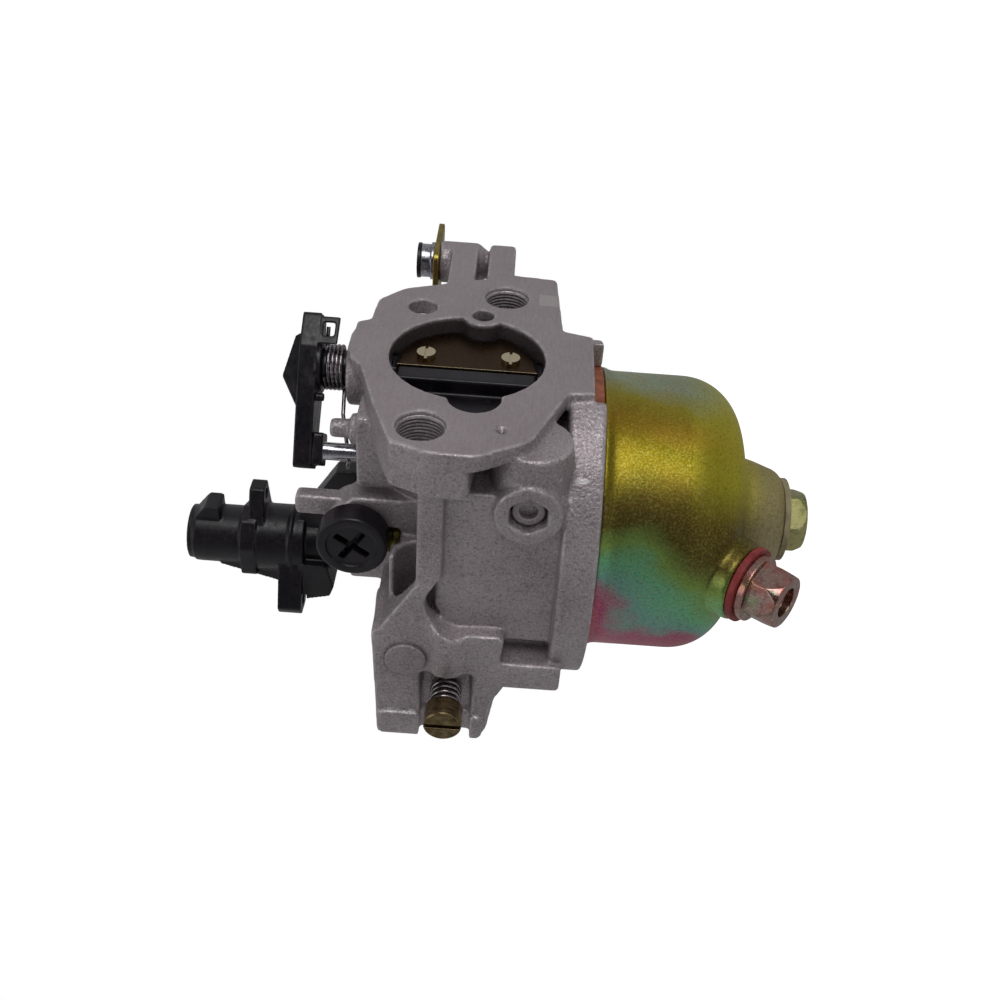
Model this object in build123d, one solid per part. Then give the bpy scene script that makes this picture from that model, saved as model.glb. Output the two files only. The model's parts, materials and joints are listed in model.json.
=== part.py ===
from build123d import *
import os
from math import cos, radians, sin

# Frame: millimetres, +Z up. The origin is where the throat axis meets the engine face.
# The throat runs along Y, the air enters at -Y, the float bowl hangs towards -Z.
INLET_Y = -62.2
BOWL_Y = -32.5
THROAT_R = 13.0
VENTURI_R = 8.5
THROTTLE_R = 9.5

STUD_X = 21.22
STUD_Z = 5.8
STUD_R = 3.9

CHOKE_X = 2.5
CHOKE_Y = -56.5
THROTTLE_Y = -19.8
SHAFT_R = 3.0
RUNNING_GAP = 0.05

RIM_R = 29.8
RIM_TOP = -17.2
RIM_BOTTOM = -23.3
GASKET_TOP = -21.2
CHAMBER_TOP = -20.0

BOWL_R = 24.6
BOWL_WALL = 1.0
SUMP_Z = -57.3
PILLAR_R = 5.4

STOP_Y = -35.5
STOP_Z = 17.1
STOP_HEAD_X = -20.0

MIX_Y = -9.9
MIX_HEAD_X = -35.2

HINGE_Y = BOWL_Y + 18.0
HINGE_Z = -27.0
NEEDLE_Y = BOWL_Y + 11.5

BOSS_X = 41.5
BOSS_Y = -58.1
BOSS_R = 4.0

FUEL_Z = -14.6

DRAIN_SEAT = (-20.6, -34.5, -48.9)
DRAIN_DIR = (-0.614, -0.06, -0.787)


def block(x0, x1, y0, y1, z0, z1):
    centre = ((x0 + x1) / 2, (y0 + y1) / 2, (z0 + z1) / 2)
    return Pos(*centre) * Box(x1 - x0, y1 - y0, z1 - z0)


def rod(start, end, r):
    a = Vector(*start)
    b = Vector(*end)
    plane = Plane(origin=a, z_dir=(b - a).normalized())
    return plane * Cylinder(r, (b - a).length, align=(Align.CENTER, Align.CENTER, Align.MIN))


def tube(start, end, r_out, r_in):
    return rod(start, end, r_out) - rod(start, end, r_in)


def taper(start, end, r0, r1):
    a = Vector(*start)
    b = Vector(*end)
    plane = Plane(origin=a, z_dir=(b - a).normalized())
    return plane * Cone(r0, r1, (b - a).length, align=(Align.CENTER, Align.CENTER, Align.MIN))


def hexagon(start, end, across_flats, turn=0):
    a = Vector(*start)
    b = Vector(*end)
    plane = Plane(origin=a, z_dir=(b - a).normalized())
    outline = Rot(0, 0, turn) * RegularPolygon(across_flats / 2, 6, major_radius=False)
    return extrude(plane * outline, (b - a).length)


def slab_y(points, y0, y1, radius=0.0):
    plane = Plane(origin=(0, y1, 0), x_dir=(1, 0, 0), z_dir=(0, -1, 0))
    outline = make_face(Polyline(*points, close=True))
    if radius > 0:
        outline = fillet(outline.vertices(), radius)
    return extrude(plane * outline, y1 - y0)


def rounded_slab_y(corners, y0, y1):
    """A slab across Y whose corners are given as (x, z, radius)."""
    plane = Plane(origin=(0, y1, 0), x_dir=(1, 0, 0), z_dir=(0, -1, 0))
    outline = make_face(Polyline(*[(x, z) for x, z, _ in corners], close=True))
    for x, z, radius in corners:
        corner = outline.vertices().sort_by_distance((x, z, 0))[0]
        outline = fillet(corner, radius)
    return extrude(plane * outline, y1 - y0)


def slab_x(points, x0, x1, radius=0.0):
    plane = Plane(origin=(x0, 0, 0), x_dir=(0, 1, 0), z_dir=(1, 0, 0))
    outline = make_face(Polyline(*points, close=True))
    if radius > 0:
        outline = fillet(outline.vertices(), radius)
    return extrude(plane * outline, x1 - x0)


def slab_z(points, z0, z1, radius=0.0):
    plane = Plane(origin=(0, 0, z0))
    outline = make_face(Polyline(*points, close=True))
    if radius > 0:
        outline = fillet(outline.vertices(), radius)
    return extrude(plane * outline, z1 - z0)


def coil(start, direction, length, turns, radius, wire):
    plane = Plane(origin=start, z_dir=direction)
    path = Helix(pitch=length / turns, height=length, radius=radius)
    section = Plane(origin=path @ 0, z_dir=path % 0) * Circle(wire)
    return plane * sweep(section, path=path, is_frenet=True)


INLET_OUTLINE = [
    (-28.6, -3.0, 4.5), (-28.3, 4.2, 3.0), (-25.8, 10.2, 0.6), (-16.2, 13.8, 0.6), (-5.2, 17.2, 0.6),
    (-2.6, 19.3, 1.0), (9.0, 19.7, 0.6), (10.2, 17.4, 0.6), (17.4, 17.0, 3.0), (22.2, 12.8, 5.0),
    (30.1, -7.3, 0.6), (29.4, -14.8, 1.0), (10.6, -16.0, 0.6), (9.2, -21.2, 0.6), (-9.0, -21.2, 0.6),
    (-9.6, -16.8, 0.6), (-23.6, -11.2, 5.5),
]
CORNER_OUTLINE = [
    (-28.6, -2.2, 1.5), (-28.3, 4.2, 3.0), (-25.8, 10.2, 0.6), (-16.2, 13.8, 0.6), (-8.0, 16.2, 0.6),
    (-8.0, 2.0, 0.6), (-20.0, -3.0, 0.6),
]
ENGINE_OUTLINE = [
    (-28.0, 12.4), (-28.0, -7.2), (-19.0, -8.6), (-10.0, -13.5), (0.0, -16.2), (14.0, -16.0),
    (28.0, -12.4), (28.0, 6.0), (14.0, 12.5), (3.0, 16.0), (-4.0, 15.6), (-16.0, 13.0),
]


def throat_cut():
    profile = [
        (0, INLET_Y - 1), (THROAT_R, INLET_Y - 1), (THROAT_R, -41.8), (VENTURI_R, -37.0),
        (VENTURI_R, -34.5), (THROTTLE_R, -31.0), (THROTTLE_R, 1.0), (0, 1.0),
    ]
    return revolve(make_face(Polyline(*profile, close=True)), axis=Axis.Y)


def casting_barrel():
    profile = [
        (0, INLET_Y), (17.0, INLET_Y), (17.0, -44.0), (14.6, -40.0), (14.6, 0), (0, 0),
    ]
    return revolve(make_face(Polyline(*profile, close=True)), axis=Axis.Y)


def casting_flanges():
    inlet = rounded_slab_y(INLET_OUTLINE, INLET_Y, INLET_Y + 3.2)
    corner = rounded_slab_y(CORNER_OUTLINE, INLET_Y, INLET_Y + 8.6)
    engine = slab_y(ENGINE_OUTLINE, -5.3, 0, 2.5)
    return inlet + corner + engine


def casting_rim():
    disc = rod((0, BOWL_Y, RIM_BOTTOM), (0, BOWL_Y, RIM_TOP), RIM_R)
    disc = fillet(disc.edges().group_by(Axis.Z)[-1], 0.8)
    front = block(-9.0, 9.0, INLET_Y - 0.3, -54.0, GASKET_TOP, RIM_TOP)
    neck = taper((0, BOWL_Y, RIM_TOP), (0, BOWL_Y, -9.0), 25.0, 14.0)
    trim = block(-40, 40, INLET_Y - 2, INLET_Y, -30, 30)
    gasket_side = block(-9.2, 9.2, INLET_Y - 2, -50.0, RIM_BOTTOM - 1, GASKET_TOP)
    return (disc + front + neck) - trim - gasket_side


def casting_side():
    column = block(-27.0, -15.5, -58.0, -3.0, 1.4, 5.7)
    inner = block(-24.6, -15.5, -58.0, -3.0, -1.5, 5.7)
    column = fillet(column.edges().filter_by(Axis.Y), 0.8)
    outline = [(-52.4, -17.6), (-52.4, 2.6), (-28.4, 2.6), (-24.2, 0.4), (-21.8, -3.2), (-21.6, -17.6)]
    panel = slab_x(outline, -25.0, 0.0, 1.2)
    crescent = rod((-30.0, -30.6, -2.3), (-22.0, -30.6, -2.3), 6.3)
    lower = slab_x([(-24.5, -9.6), (-24.5, 13.0), (-3.0, 12.2), (-3.0, -7.4)], -28.0, -10.0, 1.0)
    web = slab_x([(-23.0, 12.6), (-34.6, 5.7), (-34.6, 1.4), (-23.0, -2.0)], -27.6, -15.5)
    back = block(-21.5, -10.0, -35.6, -23.0, 4.0, 10.7)
    ridge = rod((-25.6, -26.4, 0), (-25.6, -15.4, 0), 3.8)
    lip = block(-28.8, -20.0, -5.3, 0, -6.8, 12.2)
    lip = fillet(lip.edges().filter_by(Axis.Y).group_by(Axis.X)[0], 1.2)
    lug = block(-28.0, -17.0, -18.4, -12.8, -19.6, -8.0)
    lug = fillet(lug.edges().filter_by(Axis.Y), 1.0)
    foot = slab_x([(-52.0, -18.0), (-52.0, -12.0), (-14.0, -9.0), (-14.0, -18.0)], -22.0, 10.0)
    plate = column + inner + lower + web + back + ridge + lug + foot
    return (plate - crescent) + panel + lip


def casting_plug_boss():
    boss = rod((-27.0, -50.0, -11.7), (-8.0, -50.0, -11.7), 5.5)
    root = rod((-19.8, -60.0, -11.7), (-19.8, -50.0, -11.7), 6.3)
    return boss + root


def casting_top():
    choke = rod((CHOKE_X, CHOKE_Y, 8.0), (CHOKE_X, CHOKE_Y, 20.1), 6.2)
    choke_front = block(-2.6, 9.0, INLET_Y, CHOKE_Y, 10.0, 19.4)
    pad = block(-15.0, -6.4, -58.0, -44.0, 6.0, 16.8)
    pad = fillet(pad.edges().filter_by(Axis.Z), 1.5)
    peg_root = rod((-10.0, -52.7, 12.0), (-10.0, -52.7, 18.2), 2.6)
    throttle = rod((0, THROTTLE_Y, 8.0), (0, THROTTLE_Y, 19.8), 6.4)
    peg = rod((-10.0, -52.7, 16.0), (-10.0, -52.7, 21.6), 1.6)
    peg = chamfer(peg.edges().group_by(Axis.Z)[-1], 0.3)
    vent = rod((13.0, -34.0, 4.0), (13.0, -34.0, 15.5), 4.2)
    return choke + choke_front + pad + peg_root + throttle + peg + vent


def casting_stop_arm():
    saddle = rod((-15.5, STOP_Y, STOP_Z), (-8.4, STOP_Y, STOP_Z), 5.0)
    wall = block(-15.5, -8.4, STOP_Y - 6.0, STOP_Y + 5.0, 5.0, STOP_Z)
    outline = [(-42.4, 5.0), (-42.4, 17.4), (-39.0, 21.0), (-34.0, 21.0), (-34.0, 5.0)]
    shelf = slab_x(outline, -15.5, -10.2, 1.0)
    fin = block(-14.4, -11.4, -41.2, -37.4, 17.0, 27.4)
    fin = fillet(fin.edges().filter_by(Axis.X), 0.8)
    return saddle + wall + shelf + fin


def casting_far_side():
    column = rod((STUD_X, INLET_Y, -STUD_Z), (STUD_X, 0, -STUD_Z), 6.4)
    web = block(8.0, 22.0, INLET_Y, 0, -12.0, -2.0)
    boss = rod((BOSS_X, BOSS_Y, 0.6), (BOSS_X, BOSS_Y, 7.9), BOSS_R)
    cone = taper((BOSS_X, BOSS_Y, 0.6), (BOSS_X, BOSS_Y, -1.9), BOSS_R, 2.2)
    arm = slab_z([(22.0, INLET_Y + 0.1), (BOSS_X, INLET_Y + 0.1), (BOSS_X, -53.6), (22.0, -51.0)], 0.4, 5.4)
    lug = slab_y([(24.0, -1.7), (42.4, -1.7), (42.4, -6.8), (24.0, -6.8)], INLET_Y + 0.1, -55.0, 1.0)
    fuel = rod((8.0, THROTTLE_Y, FUEL_Z), (29.0, THROTTLE_Y, FUEL_Z), 5.0)
    return column + web + boss + cone + arm + lug + fuel


def casting_pillar():
    pillar = rod((0, BOWL_Y, SUMP_Z + BOWL_WALL), (0, BOWL_Y, -18.0), PILLAR_R)
    pilot = rod((-8.6, BOWL_Y, -38.0), (-8.6, BOWL_Y, -18.0), 3.2)
    web = block(-8.6, 0, BOWL_Y - 1.6, BOWL_Y + 1.6, -36.0, -18.0)
    left = block(-6.5, -4.3, HINGE_Y - 2.2, HINGE_Y + 2.2, -29.4, -18.0)
    right = block(4.3, 6.5, HINGE_Y - 2.2, HINGE_Y + 2.2, -29.4, -18.0)
    return pillar + pilot + web + left + right


def inlet_face_holes():
    vent = rod((15.8, INLET_Y - 1, 8.9), (15.8, -48.0, 8.9), 2.55)
    bleed = rod((14.1, INLET_Y - 1, -1.9), (14.1, -54.0, -1.9), 1.9)
    pocket = rod((-12.3, INLET_Y - 1, -1.9), (-12.3, -55.0, -1.9), 4.3)
    dimple = taper((-20.8, INLET_Y - 0.01, -6.6), (-20.8, INLET_Y + 1.2, -6.6), 1.4, 0.15)
    return vent + bleed + pocket + dimple


def stud_holes():
    cut = None
    for x, z in ((-STUD_X, STUD_Z), (STUD_X, -STUD_Z)):
        hole = rod((x, INLET_Y - 1, z), (x, 1, z), STUD_R)
        mouth = taper((x, INLET_Y - 0.01, z), (x, INLET_Y + 0.25, z), STUD_R + 0.25, STUD_R)
        cut = hole + mouth if cut is None else cut + hole + mouth
    return cut


def shaft_bores():
    choke = rod((CHOKE_X, CHOKE_Y, -15.1), (CHOKE_X, CHOKE_Y, 21.0), SHAFT_R + RUNNING_GAP)
    throttle = rod((0, THROTTLE_Y, -12.6), (0, THROTTLE_Y, 21.0), SHAFT_R + RUNNING_GAP)
    seal = rod((0, THROTTLE_Y, 17.8), (0, THROTTLE_Y, 21.0), 4.6)
    return choke + throttle + seal


def chamber_cut():
    ceiling = rod((0, BOWL_Y, RIM_BOTTOM - 1), (0, BOWL_Y, CHAMBER_TOP), 22.2)
    seat = rod((0, BOWL_Y, RIM_BOTTOM - 1), (0, BOWL_Y, GASKET_TOP), 25.4)
    return ceiling + seat


def passages():
    nozzle = rod((0, BOWL_Y, -44.0), (0, BOWL_Y, -2.0), 2.2)
    jet = rod((0, BOWL_Y, -47.5), (0, BOWL_Y, -41.5), 2.5)
    bolt = rod((0, BOWL_Y, -58.0), (0, BOWL_Y, -47.0), 3.0)
    cross = rod((-7.0, BOWL_Y, -45.4), (7.0, BOWL_Y, -45.4), 1.0)
    pilot = rod((-8.6, BOWL_Y, -39.0), (-8.6, BOWL_Y, -14.0), 1.3)
    fuel = rod((-1.0, THROTTLE_Y, FUEL_Z), (30.0, THROTTLE_Y, FUEL_Z), 1.1)
    barb = rod((20.0, THROTTLE_Y, FUEL_Z), (30.0, THROTTLE_Y, FUEL_Z), 2.5)
    seat = rod((0, NEEDLE_Y, -24.0), (0, NEEDLE_Y, -17.0), 2.6)
    feed = rod((0, NEEDLE_Y, -17.5), (0, NEEDLE_Y, FUEL_Z), 1.1)
    pin = rod((-8, HINGE_Y, HINGE_Z), (8, HINGE_Y, HINGE_Z), 0.95)
    vent = rod((13.0, -34.0, 16.0), (13.0, -34.0, -21.0), 1.2)
    return nozzle + jet + bolt + cross + pilot + fuel + barb + seat + feed + pin + vent


def screw_bores():
    socket = hexagon((-27.5, -50.0, -11.7), (-24.2, -50.0, -11.7), 5.9, 30)
    stop = rod((-16.0, STOP_Y, STOP_Z), (-8.0, STOP_Y, STOP_Z), 2.0)
    pocket = block(-29.0, -25.6, -15.4, -4.4, -4.5, 4.5)
    mouth = block(-29.5, -26.6, -5.0, 1.0, -4.5, 4.5)
    mix = rod((-26.0, MIX_Y, 0), (-9.0, MIX_Y, 0), 1.8)
    port = rod((-10.0, MIX_Y, 0), (-9.0, MIX_Y, 0), 0.5)
    mark = rod((-28.1, -18.4, 7.1), (-27.5, -18.4, 7.1), 3.6)
    pilot = rod((-12.0, -32.4, 5.0), (-12.0, -32.4, 13.0), 2.0)
    pilot_pocket = block(-18.0, -8.4, -36.5, -29.2, 9.4, 15.0)
    anchor = rod((-10.0, -47.8, 10.0), (-10.0, -47.8, 18.0), 1.5)
    boss = rod((BOSS_X, BOSS_Y, -1.0), (BOSS_X, BOSS_Y, 8.0), 2.0)
    return socket + stop + pocket + mouth + mix + port + mark + pilot + pilot_pocket + anchor + boss


def body_casting():
    solid = casting_barrel() + casting_flanges() + casting_rim() + casting_side()
    solid = solid + casting_plug_boss() + casting_top() + casting_stop_arm() + casting_far_side()
    solid = solid - throat_cut()
    bump = rod((14.1, INLET_Y, -1.9), (14.1, -54.0, -1.9), 3.6)
    solid = (solid + bump) - inlet_face_holes() - stud_holes() - chamber_cut()
    solid = solid + casting_pillar() - block(-4.2, 4.2, HINGE_Y - 3, HINGE_Y + 3, -30, CHAMBER_TOP)
    solid = solid - rod((0, BOWL_Y, -8.0), (0, BOWL_Y, 8.0), 2.2)
    face = block(-60, 60, INLET_Y - 6, INLET_Y, -60, 60)
    return solid - shaft_bores() - passages() - screw_bores() - face


def bowl_profile(inset):
    r = BOWL_R - inset
    corner = 10.4 - inset
    low = -48.6 + inset
    sump = SUMP_Z + inset
    top = RIM_BOTTOM
    start = (r, low + corner)
    middle = (r - corner + corner * cos(radians(45)), low + corner - corner * sin(radians(45)))
    end = (r - corner, low)
    return start, middle, end, top, sump


def bowl_solid(inset):
    start, middle, end, top, sump = bowl_profile(inset)
    low = end[1]
    flat = (13.4 - inset, low)
    neck = (10.4 - inset, low - 3.0)
    wall = Line((start[0], top), start)
    corner = ThreePointArc(start, middle, end)
    blend = ThreePointArc(flat, (11.3 - inset, low - 0.9), neck)
    foot = (7.6 - inset, sump)
    rest = Polyline(neck, (8.8 - inset, sump + 1.2), foot, (0, sump), (0, top), (start[0], top))
    face = make_face(Plane.XZ * (wall + corner + Line(end, flat) + blend + rest))
    return Pos(0, BOWL_Y, 0) * revolve(face, axis=Axis.Z)


def drain_plane():
    return Plane(origin=DRAIN_SEAT, z_dir=DRAIN_DIR)


def float_bowl():
    shell = bowl_solid(0)
    seat = drain_plane() * Pos(0, 0, -2.2) * Cylinder(6.9, 4.4)
    rim = tube((0, BOWL_Y, -24.4), (0, BOWL_Y, RIM_BOTTOM), 25.2, 24.0)
    shell = shell + seat + rim
    inner = bowl_solid(BOWL_WALL) + rod((0, BOWL_Y, -25.0), (0, BOWL_Y, RIM_BOTTOM + 1), BOWL_R - BOWL_WALL)
    shell = shell - inner
    nut = drain_plane() * Pos(0, 0, -3.0) * Cylinder(4.6, 4.0)
    shell = shell + nut
    hole = drain_plane() * Cylinder(2.95, 20.0)
    return shell - hole - rod((0, BOWL_Y, -60.0), (0, BOWL_Y, -50.0), 3.05)


def bowl_gasket():
    return tube((0, BOWL_Y, RIM_BOTTOM), (0, BOWL_Y, GASKET_TOP), 25.4, 22.6)


def bowl_bolt_washer():
    return tube((0, BOWL_Y, SUMP_Z - 1.0), (0, BOWL_Y, SUMP_Z), 7.5, 3.05)


def bowl_bolt():
    head = hexagon((0, BOWL_Y, SUMP_Z - 4.6), (0, BOWL_Y, SUMP_Z - 1.0), 10.0, 20)
    crown = taper((0, BOWL_Y, SUMP_Z - 4.6), (0, BOWL_Y, SUMP_Z - 1.0), 5.0, 6.8)
    shank = rod((0, BOWL_Y, SUMP_Z - 1.0), (0, BOWL_Y, -48.5), 2.95)
    dish = rod((0, BOWL_Y, SUMP_Z - 5.0), (0, BOWL_Y, SUMP_Z - 4.2), 3.0)
    return (head & crown) + shank - dish


def drain_washer():
    return drain_plane() * (Pos(0, 0, 0.6) * (Cylinder(6.6, 1.2) - Cylinder(3.0, 3.0)))


def drain_plug():
    flange = Pos(0, 0, 1.9) * Cylinder(5.8, 1.4)
    head = Pos(0, 0, 2.6) * extrude(Rot(0, 0, 12) * RegularPolygon(4.5, 6, major_radius=False), 5.2)
    crown = Pos(0, 0, 2.6) * Cone(6.0, 4.5, 5.2, align=(Align.CENTER, Align.CENTER, Align.MIN))
    shank = Pos(0, 0, -1.9) * Cylinder(2.9, 6.2)
    socket = Pos(0, 0, 7.2) * Cylinder(2.6, 2.0)
    return drain_plane() * (flange + (head & crown) + shank - socket)


def float_body():
    ring = tube((0, BOWL_Y, -40.5), (0, BOWL_Y, -31.0), 19.5, 12.2)
    ring = fillet(ring.edges().filter_by(GeomType.CIRCLE), 1.4)
    gap = block(-5.2, 5.2, BOWL_Y + 8, BOWL_Y + 24, -46, -29)
    tab = block(-3.6, 3.6, BOWL_Y + 5.0, HINGE_Y + 1.0, -30.9, -29.9)
    wings = block(-9.4, 9.4, BOWL_Y + 10.0, BOWL_Y + 14.0, -31.2, -29.9)
    hinge = rod((-3.9, HINGE_Y, HINGE_Z), (3.9, HINGE_Y, HINGE_Z), 1.9)
    neck = block(-2.6, 2.6, HINGE_Y - 1.2, HINGE_Y + 1.2, -30.5, HINGE_Z)
    bore = rod((-5, HINGE_Y, HINGE_Z), (5, HINGE_Y, HINGE_Z), 1.0)
    clear = rod((0, BOWL_Y, -32.0), (0, BOWL_Y, -29.0), 6.6)
    return (ring - gap) + wings + tab + hinge + neck - bore - clear


def float_hinge_pin():
    return rod((-7.4, HINGE_Y, HINGE_Z), (7.4, HINGE_Y, HINGE_Z), 0.95)


def float_needle():
    stem = rod((0, NEEDLE_Y, -29.85), (0, NEEDLE_Y, -23.4), 1.3)
    tip = taper((0, NEEDLE_Y, -23.4), (0, NEEDLE_Y, -21.6), 1.3, 0.35)
    return stem + tip


def needle_seat():
    body = tube((0, NEEDLE_Y, -22.6), (0, NEEDLE_Y, -17.0), 2.6, 0.8)
    cone = taper((0, NEEDLE_Y, -22.61), (0, NEEDLE_Y, -21.4), 1.15, 0.78)
    return body - cone


def main_nozzle():
    body = tube((0, BOWL_Y, -41.4), (0, BOWL_Y, -3.6), 2.2, 1.2)
    for z in (-22.0, -27.0, -32.0, -37.0):
        body = body - rod((-3, BOWL_Y, z), (3, BOWL_Y, z), 0.4)
    return body


def main_jet():
    jet = tube((0, BOWL_Y, -44.2), (0, BOWL_Y, -41.5), 2.5, 0.45)
    return jet - block(-3, 3, BOWL_Y - 0.4, BOWL_Y + 0.4, -44.3, -43.6)


def pilot_jet():
    stem = rod((-12.0, -32.4, 5.6), (-12.0, -32.4, 9.5), 2.0)
    low = rod((-12.0, -32.4, 9.5), (-12.0, -32.4, 10.9), 3.1)
    waist = rod((-12.0, -32.4, 10.9), (-12.0, -32.4, 11.3), 2.7)
    high = rod((-12.0, -32.4, 11.3), (-12.0, -32.4, 12.8), 3.1)
    return stem + low + waist + high - rod((-12.0, -32.4, 5.0), (-12.0, -32.4, 9.0), 0.4)


def choke_lever():
    shaft = rod((CHOKE_X, CHOKE_Y, -15.0), (CHOKE_X, CHOKE_Y, 25.4), SHAFT_R)
    flat = block(CHOKE_X - 2.0, CHOKE_X + 4, CHOKE_Y - 4, CHOKE_Y - 2.0, -12.75, 12.75)
    disc = rod((0, CHOKE_Y + 0.1, 0), (0, CHOKE_Y + 1.7, 0), 12.3)
    blade = disc & block(-14, CHOKE_X, CHOKE_Y - 3, CHOKE_Y + 3, -14, 14)
    ridge = block(-3.2, CHOKE_X - 2.0, CHOKE_Y - 2.6, CHOKE_Y + 0.5, -11.6, 11.6)
    ridge = fillet(ridge.edges().filter_by(Axis.Z), 0.5)
    holes = None
    for z in (-7.2, 7.2):
        hole = rod((CHOKE_X + 1.2, CHOKE_Y - 3, z), (CHOKE_X + 1.2, CHOKE_Y + 1.0, z), 1.0)
        holes = hole if holes is None else holes + hole
    return (shaft - flat) + blade + ridge + choke_arm() - holes


def choke_arm():
    down = Vector(-0.614, 0.789, 0)
    side = Vector(0.789, 0.614, 0)
    hub = Vector(CHOKE_X, CHOKE_Y, 0)

    def at(along, across):
        p = hub + down * along + side * across
        return (p.X, p.Y)

    arm = slab_z([at(-8.8, -2.6), at(-8.8, 3.4), at(-3.0, 5.2), at(4.0, 5.2), at(17.6, 3.4), at(17.6, -2.8),
                  at(4.0, -4.2), at(-3.0, -4.4)], 25.2, 28.3, 0.8)
    hub_ring = rod((CHOKE_X, CHOKE_Y, 24.5), (CHOKE_X, CHOKE_Y, 25.3), 4.6)
    tab = slab_z([at(-8.2, -2.6), at(-8.2, -1.4), at(-3.4, -3.6), at(-3.4, -4.2)], 22.0, 25.3)
    window = slab_z([at(-7.2, -4.0), at(-7.2, 0.0), at(-4.8, 0.0), at(-4.8, -5.0)], 22.7, 24.6)
    foot = slab_z([at(11.4, -2.6), at(11.4, 3.0), at(17.0, 3.0), at(17.0, -2.6)], 23.5, 25.3, 0.6)
    peg_at = at(5.5, -2.8)
    peg = rod((peg_at[0], peg_at[1], 23.7), (peg_at[0], peg_at[1], 25.3), 0.7)
    rib_plane = Plane(origin=(CHOKE_X, CHOKE_Y, 0), x_dir=(-0.614, 0.789, 0), z_dir=(0.789, 0.614, 0))
    rib_line = Polyline((-5.6, 28.2), (-4.8, 29.6), (2.2, 31.4), (8.2, 28.2), close=True)
    rib = extrude(rib_plane * make_face(rib_line), 1.1, both=True)
    slots = slab_z([at(8.4, -1.4), at(8.4, 1.8), at(14.6, 1.4), at(14.6, -1.2)], 27.5, 29.0, 0.6)
    body = arm + hub_ring + (tab - window) + foot + peg
    return body + rib - slots


def choke_plate():
    outline = [
        (CHOKE_X - 1.9, 12.0), (4.8, 11.4), (12.0, 7.6), (12.4, 1.6), (11.4, -0.6), (10.2, -2.2),
        (10.4, -4.2), (11.8, -5.6), (10.2, -7.6), (4.6, -11.2), (CHOKE_X - 1.9, -12.0),
    ]
    plate = slab_y(outline, CHOKE_Y - 2.8, CHOKE_Y - 2.0)
    plate = plate & rod((0, CHOKE_Y - 4, 0), (0, CHOKE_Y, 0), 12.7)
    plate = plate - rod((14.1, CHOKE_Y - 4, -1.9), (14.1, CHOKE_Y, -1.9), 4.2)
    for z in (-7.2, 7.2):
        plate = plate - rod((CHOKE_X + 1.2, CHOKE_Y - 4, z), (CHOKE_X + 1.2, CHOKE_Y, z), 1.0)
    return plate


def plate_screw(x, y, z, depth):
    head = rod((x, y - 0.9, z), (x, y, z), 1.6)
    shank = rod((x, y, z), (x, y + depth, z), 1.0)
    return head + shank - block(x - 2, x + 2, y - 1.0, y - 0.5, z - 0.25, z + 0.25)


def choke_spring():
    spring = coil((CHOKE_X, CHOKE_Y, 20.8), (0, 0, 1), 3.2, 4.5, 3.6, 0.36)
    elbow = (-3.6, -51.0, 20.5)
    corner = (-9.2, -45.4, 18.8)
    leg = rod((CHOKE_X - 2.0, CHOKE_Y + 2.9, 20.8), elbow, 0.34)
    drop = rod(elbow, corner, 0.34)
    hook = rod(corner, (-12.1, -46.2, 18.6), 0.34)
    upper = rod((CHOKE_X + 1.0, CHOKE_Y - 3.5, 24.0), (CHOKE_X + 2.4, CHOKE_Y - 6.4, 23.9), 0.34)
    return spring + leg + drop + hook + upper


def spring_anchor_pin():
    return rod((-10.0, -47.8, 10.0), (-10.0, -47.8, 22.8), 1.5)


def throttle_shaft():
    shaft = rod((0, THROTTLE_Y, -12.5), (0, THROTTLE_Y, 34.0), SHAFT_R)
    slot = block(-12, 12, THROTTLE_Y - 0.4, THROTTLE_Y + 0.4, -9.6, 9.6)
    shaft = shaft - slot
    for z in (-4.2, 4.2):
        hole = rod((0, THROTTLE_Y - 4, z), (0, THROTTLE_Y + 2.2, z), 1.0)
        seat = rod((0, THROTTLE_Y - 4, z), (0, THROTTLE_Y - 2.4, z), 1.6)
        shaft = shaft - hole - seat
    return shaft


def throttle_plate():
    plate = rod((0, THROTTLE_Y - 0.4, 0), (0, THROTTLE_Y + 0.4, 0), THROTTLE_R - 0.05)
    for z in (-4.2, 4.2):
        plate = plate - rod((0, THROTTLE_Y - 2, z), (0, THROTTLE_Y + 2, z), 1.0)
    return plate


def throttle_seal():
    return tube((0, THROTTLE_Y, 17.8), (0, THROTTLE_Y, 20.2), 4.6, SHAFT_R + RUNNING_GAP)


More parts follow.
